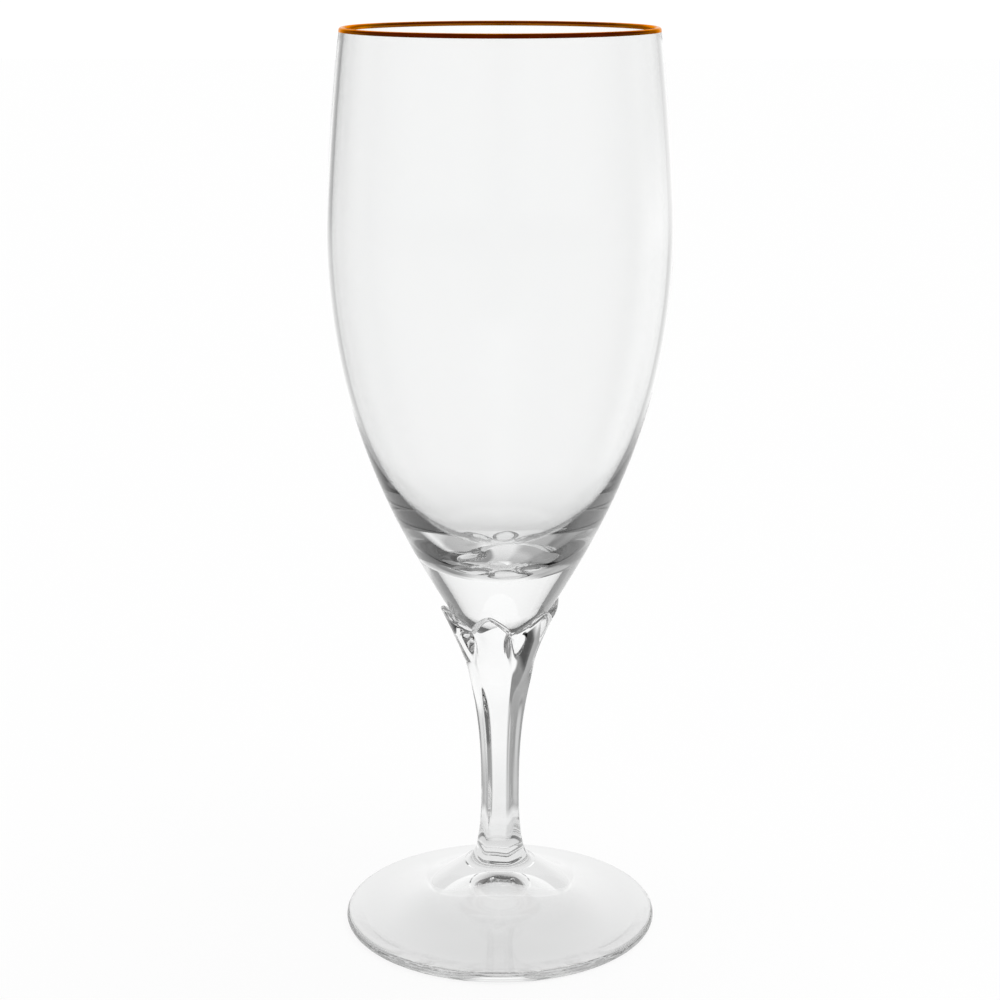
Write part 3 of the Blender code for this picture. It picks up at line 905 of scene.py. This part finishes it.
def foot_shade(stage, radius):
    """Round of the table in the foot's shade, lighter outside and at the back. Only the glass shows it."""
    material, nodes, links = new_material("foot shade")
    nodes.remove(nodes["Principled BSDF"])
    reach = radius * SHADE_REACH
    place = nodes.new("ShaderNodeTexCoord").outputs["Object"]
    depth = joined(nodes, links, "ShaderNodeSeparateXYZ", {}, Vector=place).outputs["Y"]
    inner = joined(nodes, links, "ShaderNodeMapRange",
                   {"From Min": -radius, "From Max": radius, "To Min": stage.shade_level - SHADE_SLOPE,
                    "To Max": stage.shade_level + SHADE_SLOPE}, Value=depth).outputs["Result"]
    distance = nodes.new("ShaderNodeVectorMath")
    distance.operation = "LENGTH"
    links.new(place, distance.inputs[0])
    part = maths(nodes, links, "DIVIDE", distance.outputs["Value"], reach)
    outward = levels_of(nodes, links, part, [(SHADE_CORE, 0.0), (SHADE_FADE, 1.0)])
    lighter = maths(nodes, links, "SUBTRACT", SHADE_RIM_LEVEL, inner)
    level = maths(nodes, links, "MULTIPLY_ADD", outward, lighter, inner)
    glow = joined(nodes, links, "ShaderNodeEmission", {}, Strength=level)
    clear = nodes.new("ShaderNodeBsdfTransparent")
    beyond = levels_of(nodes, links, part, [(SHADE_FADE, 0.0), (1.0, 1.0)])
    mixed(nodes, links, beyond, glow.outputs["Emission"], clear.outputs["BSDF"])
    turns = np.arange(TURNS) * TAU / TURNS
    points = [(reach * math.cos(t), reach * math.sin(t), 0.0) for t in turns]
    shade = stage_piece("foot_shade", points, [range(TURNS)], material,
                        "camera", "diffuse", "glossy", "shadow")
    shade.location.z = -SHADE_DROP


def bent_card(name, light, turns, heights, distance, chosen, mirrored=False):
    """Upright bent card that the chosen rays show, through the glass or, where it is mirrored, in polish."""
    material, nodes, links = new_material(name)
    nodes.remove(nodes["Principled BSDF"])
    glow = joined(nodes, links, "ShaderNodeEmission", {"Color": (*light, 1.0), "Strength": 1.0})
    clear = nodes.new("ShaderNodeBsdfTransparent")
    shown = chosen(nodes, links, nodes.new("ShaderNodeLightPath").outputs)
    mixed(nodes, links, shown, clear.outputs["BSDF"], glow.outputs["Emission"])
    points = []
    for turn in np.radians(np.linspace(*turns, CARD_POINTS)):
        points += [(distance * math.sin(turn), distance * math.cos(turn), height) for height in heights]
    faces = [(i, i + 2, i + 3, i + 1) for i in range(0, len(points) - 2, 2)]
    unseen = "transmission" if mirrored else "glossy"
    stage_piece(name, points, faces, material, "camera", "diffuse", "shadow", unseen)


class TEAGLASS_OT_stage(bpy.types.Operator):
    """Build the camera, floor and light"""

    bl_idname = "teaglass.stage"
    bl_label = "Stage"

    def execute(self, context):
        scene = context.scene
        stage = scene.teaglass_stage
        scene.view_settings.view_transform = "Standard"
        camera_data = bpy.data.cameras.new("camera")
        camera_data.lens = stage.camera_lens
        camera_data.clip_start = 0.01
        camera = bpy.data.objects.new("camera", camera_data)
        camera.location = (0.0, -stage.camera_distance, stage.camera_height)
        camera.rotation_euler = (math.pi / 2 - stage.camera_tilt, 0.0, 0.0)
        scene.collection.objects.link(camera)
        scene.camera = camera

        half = stage.floor_size / 2
        corners = [(-half, -half, 0.0), (half, -half, 0.0), (half, half, 0.0), (-half, half, 0.0)]
        floor = stage_piece("studio_floor", corners, [(0, 1, 2, 3)], floor_paint(stage),
                            "transmission", "glossy")
        floor.location.z = -FLOOR_DROP

        foot_radius = scene.teaglass_foot.radius
        white = (1.0, 1.0, 1.0)
        grey = [stage.ring_level] * 3
        pale = [stage.pale_level] * 3
        warm = [stage.mirror_level * part for part in stage.mirror_colour]
        foot_shade(stage, foot_radius)
        bent_card("white_card", white, CARD_TURNS, CARD_HEIGHTS, CARD_DISTANCE, through_one_wall)
        bent_card("grey_ring", grey, RING_TURNS, RING_HEIGHTS, foot_radius * RING_REACH, round_inside)
        bent_card("pale_card", pale, PALE_TURNS, PALE_HEIGHTS, foot_radius * PALE_REACH, off_the_hollow)
        bent_card("warm_card", warm, WARM_TURNS, WARM_HEIGHTS, WARM_DISTANCE, off_the_polish, mirrored=True)

        lamp_data = bpy.data.lights.new("soft lamp", "SUN")
        lamp_data.energy = stage.lamp_strength
        lamp_data.angle = LAMP_SPREAD
        lamp = bpy.data.objects.new("soft lamp", lamp_data)
        lamp.rotation_euler = LAMP_LEAN
        lamp.visible_glossy = False
        lamp.visible_transmission = False
        scene.collection.objects.link(lamp)

        scene.world = studio_world(stage)
        scene.cycles.max_bounces = 32
        scene.cycles.transmission_bounces = 32
        scene.cycles.glossy_bounces = 16
        scene.cycles.transparent_max_bounces = 16
        return {"FINISHED"}


# Add-on


class TEAGLASS_PT_panel(bpy.types.Panel):
    """Pieces of the glass and their sizes"""

    bl_label = "Tea Glass"
    bl_space_type = "VIEW_3D"
    bl_region_type = "UI"
    bl_category = "Tea Glass"

    def draw(self, context):
        for operator, (name, group) in zip(OPERATORS, GROUPS.items()):
            box = self.layout.box()
            box.operator(operator.bl_idname)
            for size in group.__annotations__:
                box.prop(getattr(context.scene, name), size)


GROUPS = {
    "teaglass_bowl": TEAGLASS_PG_bowl,
    "teaglass_stem": TEAGLASS_PG_stem,
    "teaglass_foot": TEAGLASS_PG_foot,
    "teaglass_gilding": TEAGLASS_PG_gilding,
    "teaglass_stage": TEAGLASS_PG_stage,
}
OPERATORS = (TEAGLASS_OT_bowl, TEAGLASS_OT_stem, TEAGLASS_OT_foot, TEAGLASS_OT_gilding, TEAGLASS_OT_stage)


def register():
    for name, group in GROUPS.items():
        bpy.utils.register_class(group)
        setattr(bpy.types.Scene, name, bpy.props.PointerProperty(type=group))
    for operator in OPERATORS:
        bpy.utils.register_class(operator)
    bpy.utils.register_class(TEAGLASS_PT_panel)


def unregister():
    bpy.utils.unregister_class(TEAGLASS_PT_panel)
    for operator in reversed(OPERATORS):
        bpy.utils.unregister_class(operator)
    for name, group in reversed(GROUPS.items()):
        delattr(bpy.types.Scene, name)
        bpy.utils.unregister_class(group)


def main():
    register()
    bpy.ops.teaglass.bowl()
    bpy.ops.teaglass.stem()
    bpy.ops.teaglass.foot()
    bpy.ops.teaglass.gilding()
    bpy.ops.teaglass.stage()


if __name__ == "__main__":
    main()
